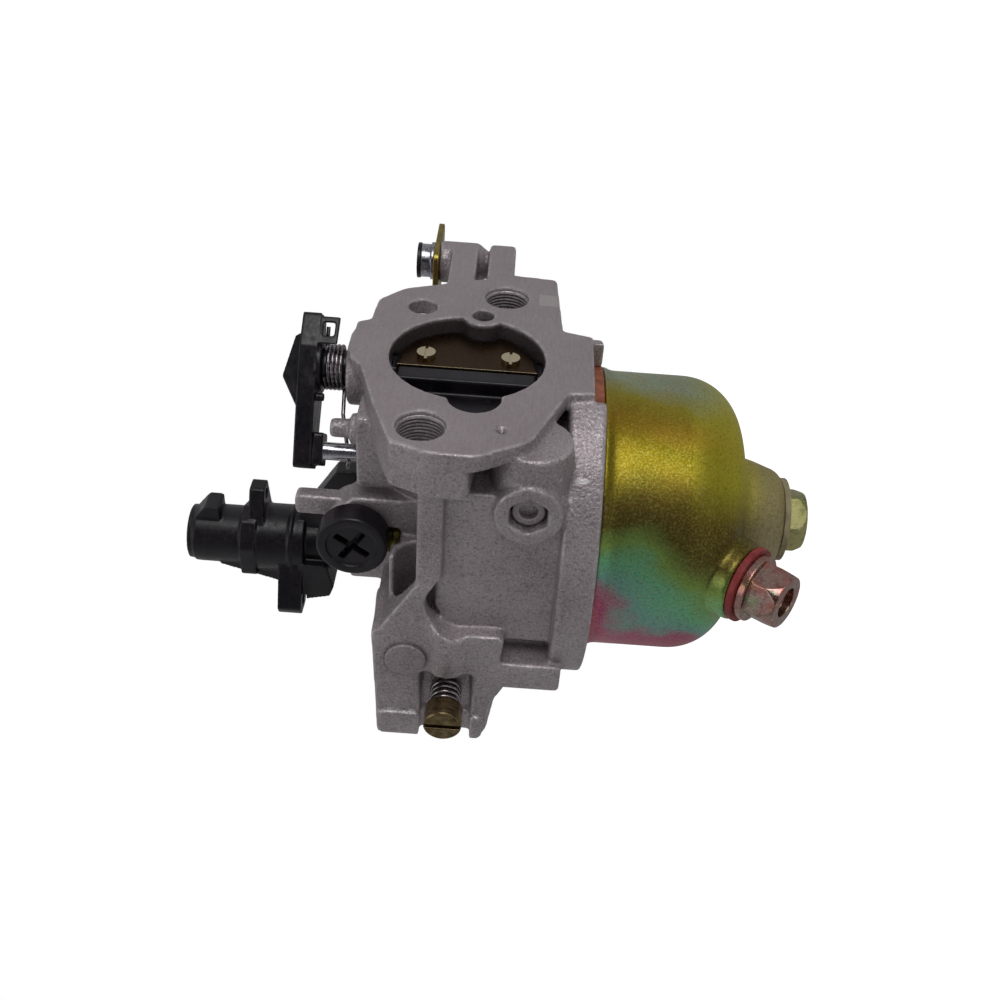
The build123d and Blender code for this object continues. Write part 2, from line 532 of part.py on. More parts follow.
def throttle_lever():
    y = THROTTLE_Y
    hub = rod((0, y, 20.6), (0, y, 28.5), 4.8)
    middle = rod((0, y, 28.4), (0, y, 37.4), 6.3)
    ring = rod((0, y, 30.6), (0, y, 31.2), 6.6)
    barrel = rod((0, y, 37.4), (0, y, 48.9), 5.45)
    tip = rod((0, y, 48.8), (0, y, 50.1), 5.1)
    trim = slab_x([(y + 2.6, 50.6), (y + 7.0, 50.6), (y + 7.0, 45.4), (y + 5.4, 45.8)], -8, 8)
    dog = slab_x([(y - 7.6, 44.1), (y - 7.6, 46.8), (y - 5.0, 48.9), (y - 3.0, 48.9), (y - 3.0, 44.1)],
                 -2.4, 2.4, 0.4)
    plate = slab_z([(-6.0, y + 4.8), (-6.6, y - 2.0), (-3.6, y - 6.0), (0.0, y - 7.0), (5.4, y - 4.5),
                    (6.6, y + 3.0), (1.5, y + 7.2)], 37.2, 40.1, 1.2)
    ear = slab_z([(-4.6, y - 3.0), (-0.4, y - 11.2), (3.0, y - 11.2), (5.0, y - 4.0)], 35.9, 38.7, 0.8)
    link = rod((1.2, y - 9.2, 34), (1.2, y - 9.2, 40), 1.0)
    web = slab_x([(y + 2.0, 44.4), (y + 3.9, 44.4), (y + 7.3, 33.0), (y + 7.3, 29.0), (y + 2.0, 29.0)],
                 -4.4, -1.2, 0.6)
    arm = slab_z([(-5.6, y), (-9.6, y + 9.6), (-8.6, y + 11.4), (-4.8, y + 11.8), (4.0, y + 4.0)],
                 28.6, 33.0, 0.8)
    fin = slab_x([(y + 1.0, 29.0), (y + 9.6, 29.0), (y + 8.2, 23.6), (y + 6.0, 22.8), (y + 1.0, 24.0)],
                 -6.6, -1.0, 0.5)
    arm_hole = rod((-6.6, y + 9.2, 28), (-6.6, y + 9.2, 34), 1.2)
    idle = slab_x([(y + 2.0, 30.4), (y - 5.0, 30.4), (y - 17.4, 22.4), (y - 17.8, 16.0), (y - 12.6, 16.0),
                   (y - 12.6, 21.0), (y + 2.0, 21.0)], -1.8, 1.8, 0.5)
    bore = rod((0, y, 18), (0, y, 34.0), SHAFT_R)
    body = hub + middle + ring + (barrel + tip + dog - trim) + plate + ear + web + arm + fin + idle
    return body - bore - link - arm_hole


def throttle_stop_screw():
    head = rod((STOP_HEAD_X, STOP_Y, STOP_Z), (STOP_HEAD_X + 4.4, STOP_Y, STOP_Z), 6.0)
    head = fillet(head.edges().group_by(Axis.X)[0], 0.6)
    dish = rod((STOP_HEAD_X - 1, STOP_Y, STOP_Z), (STOP_HEAD_X + 0.5, STOP_Y, STOP_Z), 4.3)
    left, right = STOP_HEAD_X - 1, STOP_HEAD_X + 2.4
    first = block(left, right, STOP_Y - 3.4, STOP_Y + 3.4, STOP_Z - 0.6, STOP_Z + 0.6)
    second = block(left, right, STOP_Y - 0.6, STOP_Y + 0.6, STOP_Z - 3.4, STOP_Z + 3.4)
    cross = Pos(0, STOP_Y, STOP_Z) * Rot(35, 0, 0) * Pos(0, -STOP_Y, -STOP_Z) * (first + second)
    shank = rod((STOP_HEAD_X + 4.4, STOP_Y, STOP_Z), (-1.9, STOP_Y, STOP_Z), 1.95)
    return head - dish - cross + shank


def mixture_screw():
    head = rod((MIX_HEAD_X, MIX_Y, 0), (MIX_HEAD_X + 4.2, MIX_Y, 0), 3.3)
    head = chamfer(head.edges().group_by(Axis.X)[0], 0.35)
    slot = block(MIX_HEAD_X - 1, MIX_HEAD_X + 1.3, MIX_Y - 4, MIX_Y + 4, -0.45, 0.45)
    slot = Pos(0, MIX_Y, 0) * Rot(90, 0, 0) * Pos(0, -MIX_Y, 0) * slot
    shank = rod((MIX_HEAD_X + 4.2, MIX_Y, 0), (-14.0, MIX_Y, 0), 1.75)
    tip = taper((-14.0, MIX_Y, 0), (-10.4, MIX_Y, 0), 1.6, 0.4)
    return head - slot + shank + tip


def mixture_spring():
    return coil((MIX_HEAD_X + 4.6, MIX_Y, 0), (1, 0, 0), 4.6, 4, 2.45, 0.36)


def bracket_plate():
    flat = slab_z([(BOSS_X - 5.0, BOSS_Y - 3.6), (BOSS_X - 5.0, BOSS_Y + 9.0), (BOSS_X + 3.0, BOSS_Y + 9.0),
                   (BOSS_X + 10.0, BOSS_Y + 3.0), (BOSS_X + 11.4, BOSS_Y - 3.6)], 7.9, 9.0, 2.0)
    return flat - rod((BOSS_X, BOSS_Y, 7), (BOSS_X, BOSS_Y, 10), 2.0)


def bracket_washer():
    return tube((BOSS_X, BOSS_Y, 9.0), (BOSS_X, BOSS_Y, 9.7), 3.6, 2.0)


def bracket_screw():
    head = rod((BOSS_X, BOSS_Y, 9.7), (BOSS_X, BOSS_Y, 11.6), 3.2)
    shank = rod((BOSS_X, BOSS_Y, 0), (BOSS_X, BOSS_Y, 9.7), 1.95)
    neck = rod((BOSS_X, BOSS_Y, 11.0), (BOSS_X, BOSS_Y, 11.7), 2.0)
    return head + shank - neck


def bracket_cap():
    disc = rod((BOSS_X, BOSS_Y, 11.6), (BOSS_X, BOSS_Y, 12.3), 3.4)
    stem = rod((BOSS_X, BOSS_Y, 11.0), (BOSS_X, BOSS_Y, 11.6), 1.95)
    return disc + stem


def hex_plug():
    return tube((-25.4, -50.0, -11.7), (-24.2, -50.0, -11.7), 2.6, 1.5)


def round_plug():
    return rod((-28.5, -18.4, 7.1), (-27.5, -18.4, 7.1), 3.5)


def fuel_inlet():
    body = rod((20.0, THROTTLE_Y, FUEL_Z), (43.0, THROTTLE_Y, FUEL_Z), 2.5)
    for x in (34.0, 37.5, 41.0):
        body = body + taper((x, THROTTLE_Y, FUEL_Z), (x + 2.0, THROTTLE_Y, FUEL_Z), 3.1, 2.5)
    collar = rod((29.0, THROTTLE_Y, FUEL_Z), (30.2, THROTTLE_Y, FUEL_Z), 3.6)
    return body + collar - rod((19.0, THROTTLE_Y, FUEL_Z), (44.0, THROTTLE_Y, FUEL_Z), 1.5)


PARTS = {
    "body_casting": body_casting(),
    "float_bowl": float_bowl(),
    "bowl_gasket": bowl_gasket(),
    "bowl_bolt": bowl_bolt(),
    "bowl_bolt_washer": bowl_bolt_washer(),
    "drain_plug": drain_plug(),
    "drain_washer": drain_washer(),
    "float": float_body(),
    "float_hinge_pin": float_hinge_pin(),
    "float_needle": float_needle(),
    "needle_seat": needle_seat(),
    "main_nozzle": main_nozzle(),
    "main_jet": main_jet(),
    "pilot_jet": pilot_jet(),
    "choke_lever": choke_lever(),
    "choke_plate": choke_plate(),
    "choke_screw_upper": plate_screw(CHOKE_X + 1.2, CHOKE_Y - 2.8, 7.2, 3.0),
    "choke_screw_lower": plate_screw(CHOKE_X + 1.2, CHOKE_Y - 2.8, -7.2, 3.0),
    "choke_spring": choke_spring(),
    "spring_anchor_pin": spring_anchor_pin(),
    "throttle_shaft": throttle_shaft(),
    "throttle_plate": throttle_plate(),
    "throttle_screw_upper": plate_screw(0, THROTTLE_Y - 2.4, 4.2, 4.6),
    "throttle_screw_lower": plate_screw(0, THROTTLE_Y - 2.4, -4.2, 4.6),
    "throttle_seal": throttle_seal(),
    "throttle_lever": throttle_lever(),
    "throttle_stop_screw": throttle_stop_screw(),
    "mixture_screw": mixture_screw(),
    "mixture_spring": mixture_spring(),
    "bracket_plate": bracket_plate(),
    "bracket_washer": bracket_washer(),
    "bracket_screw": bracket_screw(),
    "bracket_cap": bracket_cap(),
    "hex_plug": hex_plug(),
    "round_plug": round_plug(),
    "fuel_inlet": fuel_inlet(),
}

os.makedirs("parts", exist_ok=True)
for name, shape in PARTS.items():
    export_step(shape, "parts/" + name + ".step")
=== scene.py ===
import json
import math

import bmesh
import bpy
from mathutils import Matrix, Vector


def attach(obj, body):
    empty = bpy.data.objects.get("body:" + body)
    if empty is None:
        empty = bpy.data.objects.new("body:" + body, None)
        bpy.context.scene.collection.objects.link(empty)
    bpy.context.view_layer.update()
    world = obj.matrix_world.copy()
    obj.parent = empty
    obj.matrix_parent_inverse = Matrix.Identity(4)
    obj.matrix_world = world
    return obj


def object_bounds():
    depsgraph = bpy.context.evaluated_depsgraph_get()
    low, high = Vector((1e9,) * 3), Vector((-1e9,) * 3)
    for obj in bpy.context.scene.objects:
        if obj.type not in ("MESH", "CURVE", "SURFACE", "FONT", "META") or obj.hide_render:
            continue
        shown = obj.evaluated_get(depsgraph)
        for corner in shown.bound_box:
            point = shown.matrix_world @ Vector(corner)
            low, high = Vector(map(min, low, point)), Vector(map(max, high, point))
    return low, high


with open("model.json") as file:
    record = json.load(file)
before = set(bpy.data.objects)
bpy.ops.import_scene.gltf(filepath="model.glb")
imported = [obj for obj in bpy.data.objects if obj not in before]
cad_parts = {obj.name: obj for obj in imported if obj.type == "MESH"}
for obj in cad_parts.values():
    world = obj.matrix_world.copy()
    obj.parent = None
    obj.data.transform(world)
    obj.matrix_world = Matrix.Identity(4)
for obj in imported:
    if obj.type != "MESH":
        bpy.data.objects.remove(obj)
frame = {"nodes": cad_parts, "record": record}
CAD_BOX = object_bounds()
NODES = frame["nodes"]
MM = 0.001

# The camera of the reference view: where it stands and which way is right and up in its frame.
CAMERA_PLACE = (-169.4 * MM, -164.2 * MM, -7.1 * MM)
CAMERA_RIGHT = Vector((0.0439, -0.0564, -0.9974))
CAMERA_UP = Vector((0.6127, -0.7871, 0.0715))
CAMERA_BACK = Vector((-0.7891, -0.6143, 0.0))
LENS_MM = 42.48

BOWL_Y = -32.5
INLET_Y = -62.2
BOWL_R = 24.6
THROAT_R = 13.0
PATCH_X = (19.0, 22.8)
PATCH_Z = (-15.3, -11.7)
FLOOR_DROP = 0.06
TURN_STEPS = 72

# The stud holes and the cutter marks in them.
STUD_HOLES = (("stud_bore_marks_left", -21.22, 5.8), ("stud_bore_marks_right", 21.22, -5.8))
MARK_R, MARK_WALL, MARK_START, MARK_END, MARK_PITCH, MARK_DEPTH = 3.78, 0.5, 0.9, 7.4, 0.62, 0.12

# Soft lights: name, the way to them from the part, distance, width and power.
MIDDLE = Vector((0, BOWL_Y * MM, -10 * MM))
LIGHTS = (
    ("key", (-0.27, -0.96, 0.05), 0.55, 0.34, 0.88),
    ("side", (-0.55, -0.25, 0.80), 0.60, 0.35, 0.32),
)
# How bright the surroundings are, from straight behind the part to the viewer's side.
WORLD_LEVELS = ((0.0, 0.36), (0.45, 0.22), (0.85, 0.065), (1.0, 0.03))


# ---------------------------------------------------------------- stage

def add_camera():
    data = bpy.data.cameras.new("camera")
    data.sensor_width = 36.0
    data.lens = LENS_MM
    data.clip_start = 0.01
    camera = bpy.data.objects.new("camera", data)
    bpy.context.collection.objects.link(camera)
    turn = Matrix((CAMERA_RIGHT, CAMERA_UP, CAMERA_BACK)).transposed()
    camera.matrix_world = Matrix.Translation(CAMERA_PLACE) @ turn.to_4x4()
    bpy.context.scene.camera = camera


def add_light(name, place, target, size, power):
    data = bpy.data.lights.new(name, "AREA")
    data.shape = "DISK"
    data.size = size
    data.energy = power
    light = bpy.data.objects.new(name, data)
    bpy.context.collection.objects.link(light)
    way = Vector(target) - Vector(place)
    light.location = place
    light.rotation_euler = way.to_track_quat("-Z", "Y").to_euler()


def add_floor():
    mesh = bpy.data.meshes.new("floor")
    ring = bmesh.new()
    bmesh.ops.create_circle(ring, cap_ends=True, segments=96, radius=0.9)
    ring.to_mesh(mesh)
    floor = bpy.data.objects.new("floor", mesh)
    floor.location = (0, BOWL_Y * MM, CAD_BOX[0][2] - FLOOR_DROP)
    bpy.context.collection.objects.link(floor)
    paint = Paint("floor_white", rough=0.8)
    speck = paint.spread(paint.noise(0.02, 3), 0.3, 0.7)
    paint.colour(paint.mix(speck, (0.70, 0.70, 0.70), (0.76, 0.76, 0.76)))
    path = paint.node("ShaderNodeLightPath")
    glow = paint.node("ShaderNodeEmission")
    glow.inputs["Color"].default_value = (1, 1, 1, 1)
    glow.inputs["Strength"].default_value = 0.9
    both = paint.node("ShaderNodeAddShader")
    seen = paint.node("ShaderNodeMixShader")
    paint.link(paint.shader.outputs["BSDF"], both.inputs[0])
    paint.link(glow.outputs["Emission"], both.inputs[1])
    paint.link(path.outputs["Is Camera Ray"], seen.inputs["Fac"])
    paint.link(paint.shader.outputs["BSDF"], seen.inputs[1])
    paint.link(both.outputs["Shader"], seen.inputs[2])
    paint.link(seen.outputs["Shader"], paint.tree.nodes["Material Output"].inputs["Surface"])
    mesh.materials.append(paint.mat)


def add_world():
    """White behind the part; the light it gives is softer, and dimmest from the viewer's side."""
    world = bpy.data.worlds.new("studio")
    bpy.context.scene.world = world
    world.use_nodes = True
    tree = world.node_tree
    lit = tree.nodes["Background"]
    white = tree.nodes.new("ShaderNodeBackground")
    coords = tree.nodes.new("ShaderNodeTexCoord")
    facing = tree.nodes.new("ShaderNodeVectorMath")
    facing.operation = "DOT_PRODUCT"
    facing.inputs[1].default_value = CAMERA_BACK
    ramp = tree.nodes.new("ShaderNodeValToRGB")
    bar = ramp.color_ramp
    bar.elements.new(0.5)
    bar.elements.new(0.75)
    for element, (place, level) in zip(bar.elements, WORLD_LEVELS):
        element.position = place
        element.color = (level, level, level * 1.02, 1)
    tree.links.new(coords.outputs["Generated"], facing.inputs[0])
    tree.links.new(facing.outputs["Value"], ramp.inputs["Fac"])
    tree.links.new(ramp.outputs["Color"], lit.inputs["Color"])
    path = tree.nodes.new("ShaderNodeLightPath")
    mixer = tree.nodes.new("ShaderNodeMixShader")
    tree.links.new(path.outputs["Is Camera Ray"], mixer.inputs["Fac"])
    tree.links.new(lit.outputs["Background"], mixer.inputs[1])
    tree.links.new(white.outputs["Background"], mixer.inputs[2])
    tree.links.new(mixer.outputs["Shader"], tree.nodes["World Output"].inputs["Surface"])
    white.inputs["Color"].default_value = (1, 1, 1, 1)


# ---------------------------------------------------------------- materials

class Paint:
    """A procedural material: noise, ramps and bumps built up on one Principled shader."""

    def __init__(self, name, metal=0.0, rough=0.5, specular=0.5):
        self.mat = bpy.data.materials.new(name)
        self.mat.use_nodes = True
        self.tree = self.mat.node_tree
        self.shader = self.tree.nodes["Principled BSDF"]
        self.shader.inputs["Metallic"].default_value = metal
        self.shader.inputs["Roughness"].default_value = rough
        self.shader.inputs["Specular IOR Level"].default_value = specular
        self.place = self.node("ShaderNodeTexCoord").outputs["Object"]
        self.normal = None

    def node(self, kind):
        return self.tree.nodes.new(kind)

    def link(self, source, target):
        self.tree.links.new(source, target)

    def stretched(self, scale):
        mapping = self.node("ShaderNodeMapping")
        mapping.inputs["Scale"].default_value = scale
        self.link(self.place, mapping.inputs["Vector"])
        return mapping.outputs["Vector"]

    def noise(self, per_mm, detail=4.0, stretch=None):
        tex = self.node("ShaderNodeTexNoise")
        tex.inputs["Scale"].default_value = per_mm / MM
        tex.inputs["Detail"].default_value = detail
        self.link(self.stretched(stretch) if stretch else self.place, tex.inputs["Vector"])
        return tex.outputs["Fac"]

    def ramp(self, value, stops):
        ramp = self.node("ShaderNodeValToRGB")
        bar = ramp.color_ramp
        while len(bar.elements) < len(stops):
            bar.elements.new(0.5)
        for element, (place, tone) in zip(bar.elements, stops):
            element.position = place
            element.color = (tone, tone, tone, 1) if isinstance(tone, (int, float)) else (*tone, 1)
        self.link(value, ramp.inputs["Fac"])
        return ramp.outputs["Color"]

    def spread(self, value, low, high, to_low=0.0, to_high=1.0):
        span = self.node("ShaderNodeMapRange")
        span.inputs["From Min"].default_value = low
        span.inputs["From Max"].default_value = high
        span.inputs["To Min"].default_value = to_low
        span.inputs["To Max"].default_value = to_high
        self.link(value, span.inputs["Value"])
        return span.outputs["Result"]

    def sum(self, a, b, operation="ADD"):
        maths = self.node("ShaderNodeMath")
        maths.operation = operation
        for value, socket in ((a, maths.inputs[0]), (b, maths.inputs[1])):
            if isinstance(value, (int, float)):
                socket.default_value = value
            else:
                self.link(value, socket)
        return maths.outputs["Value"]

    def mix(self, share, a, b, blend="MIX"):
        mixer = self.node("ShaderNodeMix")
        mixer.data_type = "RGBA"
        mixer.blend_type = blend
        for value, socket in ((share, mixer.inputs["Factor"]), (a, mixer.inputs[6]), (b, mixer.inputs[7])):
            if isinstance(value, (int, float)):
                socket.default_value = value
            elif isinstance(value, tuple):
                socket.default_value = (*value, 1)
            else:
                self.link(value, socket)
        return mixer.outputs[2]

    def axis(self, index):
        split = self.node("ShaderNodeSeparateXYZ")
        self.link(self.place, split.inputs["Vector"])
        return self.sum(split.outputs[index], 1 / MM, "MULTIPLY")

    def across(self, centre, way, half):
        """Where a point lies along a direction, -1 to 1 over the given half width in mm."""
        shift = self.node("ShaderNodeVectorMath")
        shift.operation = "SUBTRACT"
        shift.inputs[1].default_value = tuple(c * MM for c in centre)
        self.link(self.place, shift.inputs[0])
        dot = self.node("ShaderNodeVectorMath")
        dot.operation = "DOT_PRODUCT"
        dot.inputs[1].default_value = tuple(c / (half * MM) for c in way)
        self.link(shift.outputs["Vector"], dot.inputs[0])
        return dot.outputs["Value"]

    def edges(self, low, high):
        """Worn corners, or hollows where the first number is the higher."""
        geometry = self.node("ShaderNodeNewGeometry")
        return self.spread(geometry.outputs["Pointiness"], low, high)

    def throat_radius(self):
        """How far a point lies from the throat's axis, in mm."""
        x, z = self.axis(0), self.axis(2)
        return self.sum(self.sum(self.sum(x, x, "MULTIPLY"), self.sum(z, z, "MULTIPLY")), 0.5, "POWER")

    def window(self, value, low, high, soft):
        """One between two values, falling to nothing over a soft width outside them."""
        rise = self.spread(value, low - soft, low)
        return self.sum(rise, self.spread(value, high + soft, high), "MULTIPLY")

    def bump(self, height, depth_mm, strength=1.0):
        bump = self.node("ShaderNodeBump")
        bump.inputs["Strength"].default_value = strength
        bump.inputs["Distance"].default_value = depth_mm * MM
        self.link(height, bump.inputs["Height"])
        if self.normal is not None:
            self.link(self.normal, bump.inputs["Normal"])
        self.normal = bump.outputs["Normal"]
        self.link(self.normal, self.shader.inputs["Normal"])

    def colour(self, value):
        self.link(value, self.shader.inputs["Base Color"])

    def rough(self, value):
        self.link(value, self.shader.inputs["Roughness"])


def srgb(red, green, blue):
    """A colour given in screen values, 0 to 255, as the linear one that shaders use."""
    shares = (c / 255 for c in (red, green, blue))
    return tuple(((c + 0.055) / 1.055) ** 2.4 if c > 10 / 255 else c / 12.92 for c in shares)


def cast_metal(name, sparkle=1.0):
    """Grainy die-cast alloy; the faces and bores that were machined are finer, and the bores darker with
    painted shade.
    """
    paint = Paint(name, metal=0.55, rough=0.5)
    x, y, z = (paint.axis(index) for index in range(3))
    faced = paint.sum(paint.spread(y, INLET_Y + 0.25, INLET_Y + 0.1),
                      paint.spread(y, -0.25, -0.1), "MAXIMUM")
    bored = paint.spread(paint.throat_radius(), THROAT_R + 0.5, THROAT_R + 0.1)
    inside = paint.sum(paint.spread(y, INLET_Y + 0.2, INLET_Y + 1.0), bored, "MULTIPLY")
    clouds = paint.spread(paint.noise(0.10, 5), 0.35, 0.65)
    base = paint.mix(clouds, srgb(168, 157, 160), srgb(190, 180, 183))
    milled = paint.noise(1.0, 3, (0.4, 1.0, 2.2))
    base = paint.mix(paint.sum(faced, 0.75, "MULTIPLY"), base,
                     paint.mix(paint.spread(milled, 0.30, 0.70), srgb(166, 155, 157), srgb(179, 168, 170)))
    grain = paint.noise(2.0, 3)
    cast = paint.sum(1.0, paint.sum(faced, 0.75, "MULTIPLY"), "SUBTRACT")
    speck = paint.spread(paint.noise(2.6, 2), 0.50, 0.72)
    # Painted glints: bright specks mixed into the colour of the cast, unmachined surfaces; they are also made
    # a little less rough.
    painted_glint = paint.sum(paint.sum(speck, cast, "MULTIPLY"), 0.55 * sparkle, "MULTIPLY")
    base = paint.mix(painted_glint, base, srgb(225, 218, 220))
    pits = paint.spread(paint.noise(2.3, 2), 0.50, 0.30)
    base = paint.mix(paint.sum(paint.sum(pits, cast, "MULTIPLY"), 0.45, "MULTIPLY"), base, srgb(88, 78, 82))
    rubbed = paint.spread(paint.noise(0.7, 5), 0.38, 0.62)
    worn = paint.sum(paint.edges(0.515, 0.565), rubbed, "MULTIPLY")
    base = paint.mix(paint.sum(worn, 0.85, "MULTIPLY"), base, srgb(236, 231, 232))
    # Darker in creases and hollows.
    crease_dark = paint.sum(paint.edges(0.488, 0.44), 0.75, "MULTIPLY")
    base = paint.mix(crease_dark, base, srgb(78, 68, 72))
    # Painted shade: everything within the throat's radius behind the inlet face is darkened towards deep
    # grey, the bore and a ring of the engine face alike.
    base = paint.mix(paint.sum(inside, 0.82, "MULTIPLY"), base, srgb(58, 46, 50))
    patch = paint.sum(paint.window(x, *PATCH_X, 0.2), paint.window(z, *PATCH_Z, 0.2), "MULTIPLY")
    patch = paint.sum(paint.sum(patch, faced, "MULTIPLY"), 0.6, "MULTIPLY")
    base = paint.mix(patch, base, srgb(205, 198, 198))
    paint.colour(base)
    paint.rough(paint.sum(paint.spread(grain, 0.3, 0.7, 0.36, 0.52), paint.sum(painted_glint, -0.12, "MULTIPLY")))
    paint.bump(paint.sum(paint.noise(0.7, 4), cast, "MULTIPLY"), 0.25, 0.35)
    paint.bump(paint.sum(grain, cast, "MULTIPLY"), 0.16, 0.9)
    return paint.mat


def bowl_metal(name):
    """Yellow zinc whose film runs through green, teal and rose round the cup."""
    paint = Paint(name, metal=1.0, rough=0.36)
    up = paint.across((0, BOWL_Y, 0), (0.61, -0.79, 0.0), BOWL_R)
    down = paint.across((0, BOWL_Y, -36.0), (0, 0, -1), 12.0)
    side = paint.across((0, BOWL_Y, 0), (-0.79, -0.61, 0.0), BOWL_R)
    drift = paint.spread(paint.noise(0.045, 3), 0.3, 0.7, -0.09, 0.09)
    lean = paint.sum(paint.spread(down, -1.0, 1.2, -0.035, 0.075),
                     paint.spread(side, -1.0, 1.0, 0.12, 0.0))
    film = paint.sum(paint.sum(paint.sum(up, 0.45, "MULTIPLY"), 0.5), paint.sum(drift, lean))
    # The stops at 0.43 and 0.51 are a painted dark reflection: a dull olive band across the cup.
    tints = [
        (0.03, srgb(168, 112, 134)), (0.10, srgb(204, 98, 128)), (0.16, srgb(200, 96, 140)),
        (0.21, srgb(132, 186, 178)), (0.28, srgb(126, 208, 160)), (0.35, srgb(146, 182, 98)),
        (0.43, srgb(104, 92, 48)), (0.51, srgb(112, 94, 42)), (0.60, srgb(130, 118, 28)),
        (0.70, srgb(128, 116, 22)), (0.79, srgb(162, 130, 40)), (0.87, srgb(176, 166, 60)),
        (0.95, srgb(178, 198, 172)),
    ]
    base = paint.ramp(film, tints)
    clouds = paint.spread(paint.noise(0.16, 5), 0.38, 0.62)
    blotch = paint.sum(clouds, paint.spread(up, -0.1, 0.5), "MULTIPLY")
    base = paint.mix(paint.sum(blotch, 0.20, "MULTIPLY"), base, srgb(206, 158, 52))
    # Painted highlight: where the key light falls on the cup, the colour is mixed towards bright yellow; the
    # same band is made rougher.
    lit = paint.sum(paint.spread(down, 0.1, 0.8), paint.spread(up, -0.1, 0.2), "MULTIPLY")
    base = paint.mix(paint.sum(lit, 0.75, "MULTIPLY"), base, srgb(222, 212, 66))
    foot = paint.spread(down, 1.0, 1.5)
    base = paint.mix(paint.sum(foot, 0.80, "MULTIPLY"), base, srgb(188, 174, 140))
    speck = paint.spread(paint.noise(3.0, 2), 0.45, 0.74)
    base = paint.mix(paint.sum(speck, 0.30, "MULTIPLY"), base, srgb(222, 220, 110))
    dull = paint.spread(paint.noise(2.4, 2), 0.52, 0.30)
    base = paint.mix(paint.sum(dull, 0.35, "MULTIPLY"), base, srgb(84, 72, 30))
    worn = paint.sum(paint.edges(0.60, 0.70), 0.4, "MULTIPLY")
    base = paint.mix(worn, base, srgb(190, 182, 150))
    paint.colour(base)
    grain = paint.noise(3.2, 2)
    paint.rough(paint.sum(paint.spread(grain, 0.3, 0.7, 0.32, 0.44), paint.sum(lit, 0.16, "MULTIPLY")))
    paint.bump(paint.noise(0.15, 2), 0.10, 0.15)
    paint.bump(grain, 0.03, 0.6)
    return paint.mat


def zinc(name, tones, rough=0.30, scale=0.28, grain_mm=0.03, speck=0.2, throat_shade=0.0):
    """Plated metal whose film changes colour from place to place."""
    paint = Paint(name, metal=1.0, rough=rough)
    steps = [(0.25 + 0.5 * i / (len(tones) - 1), tone) for i, tone in enumerate(tones)]
    base = paint.ramp(paint.noise(scale, 3), steps)
    grain = paint.noise(2.6, 3)
    base = paint.mix(paint.sum(paint.spread(grain, 0.55, 0.72), speck, "MULTIPLY"), base, srgb(240, 236, 214))
    dirt = paint.sum(paint.spread(paint.noise(0.9, 5), 0.48, 0.36), 0.35, "MULTIPLY")
    base = paint.mix(dirt, base, srgb(84, 66, 48))
    # Painted shade: within the throat's radius the plating is darkened towards deep brown, by the given
    # share.
    if throat_shade:
        film = paint.sum(paint.spread(paint.throat_radius(), THROAT_R + 0.5, THROAT_R), throat_shade, "MULTIPLY")
        base = paint.mix(film, base, srgb(64, 44, 34))
    worn = paint.sum(paint.edges(0.53, 0.60), 0.8, "MULTIPLY")
    base = paint.mix(worn, base, srgb(226, 220, 190))
    paint.colour(base)
    paint.rough(paint.spread(grain, 0.3, 0.7, rough * 0.8, rough * 1.3))
    paint.bump(paint.noise(0.6, 4), 0.05, 0.3)
    paint.bump(grain, grain_mm, 0.5)
    return paint.mat


def bright_metal(name, low, high, rough=0.25, turned=(1.0, 1.0, 1.0)):
    """Turned or drawn metal: fine marks along one way, a little tarnish in its hollows."""
    paint = Paint(name, metal=1.0, rough=rough)
    marks = paint.noise(1.6, 4, turned)
    base = paint.mix(paint.spread(marks, 0.35, 0.65), low, high)
    stain = paint.sum(paint.spread(paint.noise(0.5, 5), 0.50, 0.68), 0.5, "MULTIPLY")
    base = paint.mix(stain, base, tuple(c * 0.45 for c in low))
    hollow = paint.sum(paint.edges(0.47, 0.40), 0.7, "MULTIPLY")
    base = paint.mix(hollow, base, tuple(c * 0.2 for c in low))
    worn = paint.sum(paint.edges(0.55, 0.66), 0.6, "MULTIPLY")
    base = paint.mix(worn, base, tuple(min(1.0, c * 1.5) for c in high))
    paint.colour(base)
    paint.rough(paint.spread(marks, 0.3, 0.7, rough * 0.7, rough * 1.4))
    paint.bump(marks, 0.02, 0.5)
    return paint.mat


def plastic(name, base, rough=0.40, dust=0.35):
    """Moulded plastic: a fine orange-peel skin, dull scuffs and a little dust on its edges."""
    paint = Paint(name, rough=rough, specular=0.5)
    light = tuple(c * 1.9 + 0.006 for c in base)
    tone = paint.mix(paint.spread(paint.noise(0.2, 4), 0.35, 0.65), base, light)
    scuff = paint.spread(paint.noise(0.9, 5, (1.0, 0.3, 1.0)), 0.58, 0.74)
    tone = paint.mix(paint.sum(scuff, dust, "MULTIPLY"), tone, tuple(c * 4 + 0.03 for c in base))
    worn = paint.sum(paint.edges(0.55, 0.66), 0.35, "MULTIPLY")
    tone = paint.mix(worn, tone, tuple(c * 4 + 0.05 for c in base))
    paint.colour(tone)
    paint.rough(paint.sum(paint.spread(paint.noise(1.4, 4), 0.3, 0.7, rough * 0.8, rough * 1.25),
                          paint.sum(scuff, 0.2, "MULTIPLY")))
    paint.bump(paint.noise(0.35, 2), 0.05, 0.25)
    paint.bump(paint.noise(3.0, 3), 0.02, 0.4)
    return paint.mat


def rubber(name, base, rough=0.6, fibres=(1.0, 1.0, 1.0)):
    paint = Paint(name, rough=rough, specular=0.4)
    dull = tuple(c * 0.6 for c in base)
    tone = paint.mix(paint.spread(paint.noise(0.6, 5, fibres), 0.35, 0.65), dull, base)
    fleck = paint.sum(paint.spread(paint.noise(3.0, 2), 0.60, 0.74), 0.35, "MULTIPLY")
    tone = paint.mix(fleck, tone, tuple(min(1.0, c * 1.6 + 0.05) for c in base))
    paint.colour(tone)
    paint.rough(paint.spread(paint.noise(1.5, 4), 0.3, 0.7, rough * 0.85, rough * 1.2))
    paint.bump(paint.noise(2.0, 4, fibres), 0.04, 0.5)
    return paint.mat


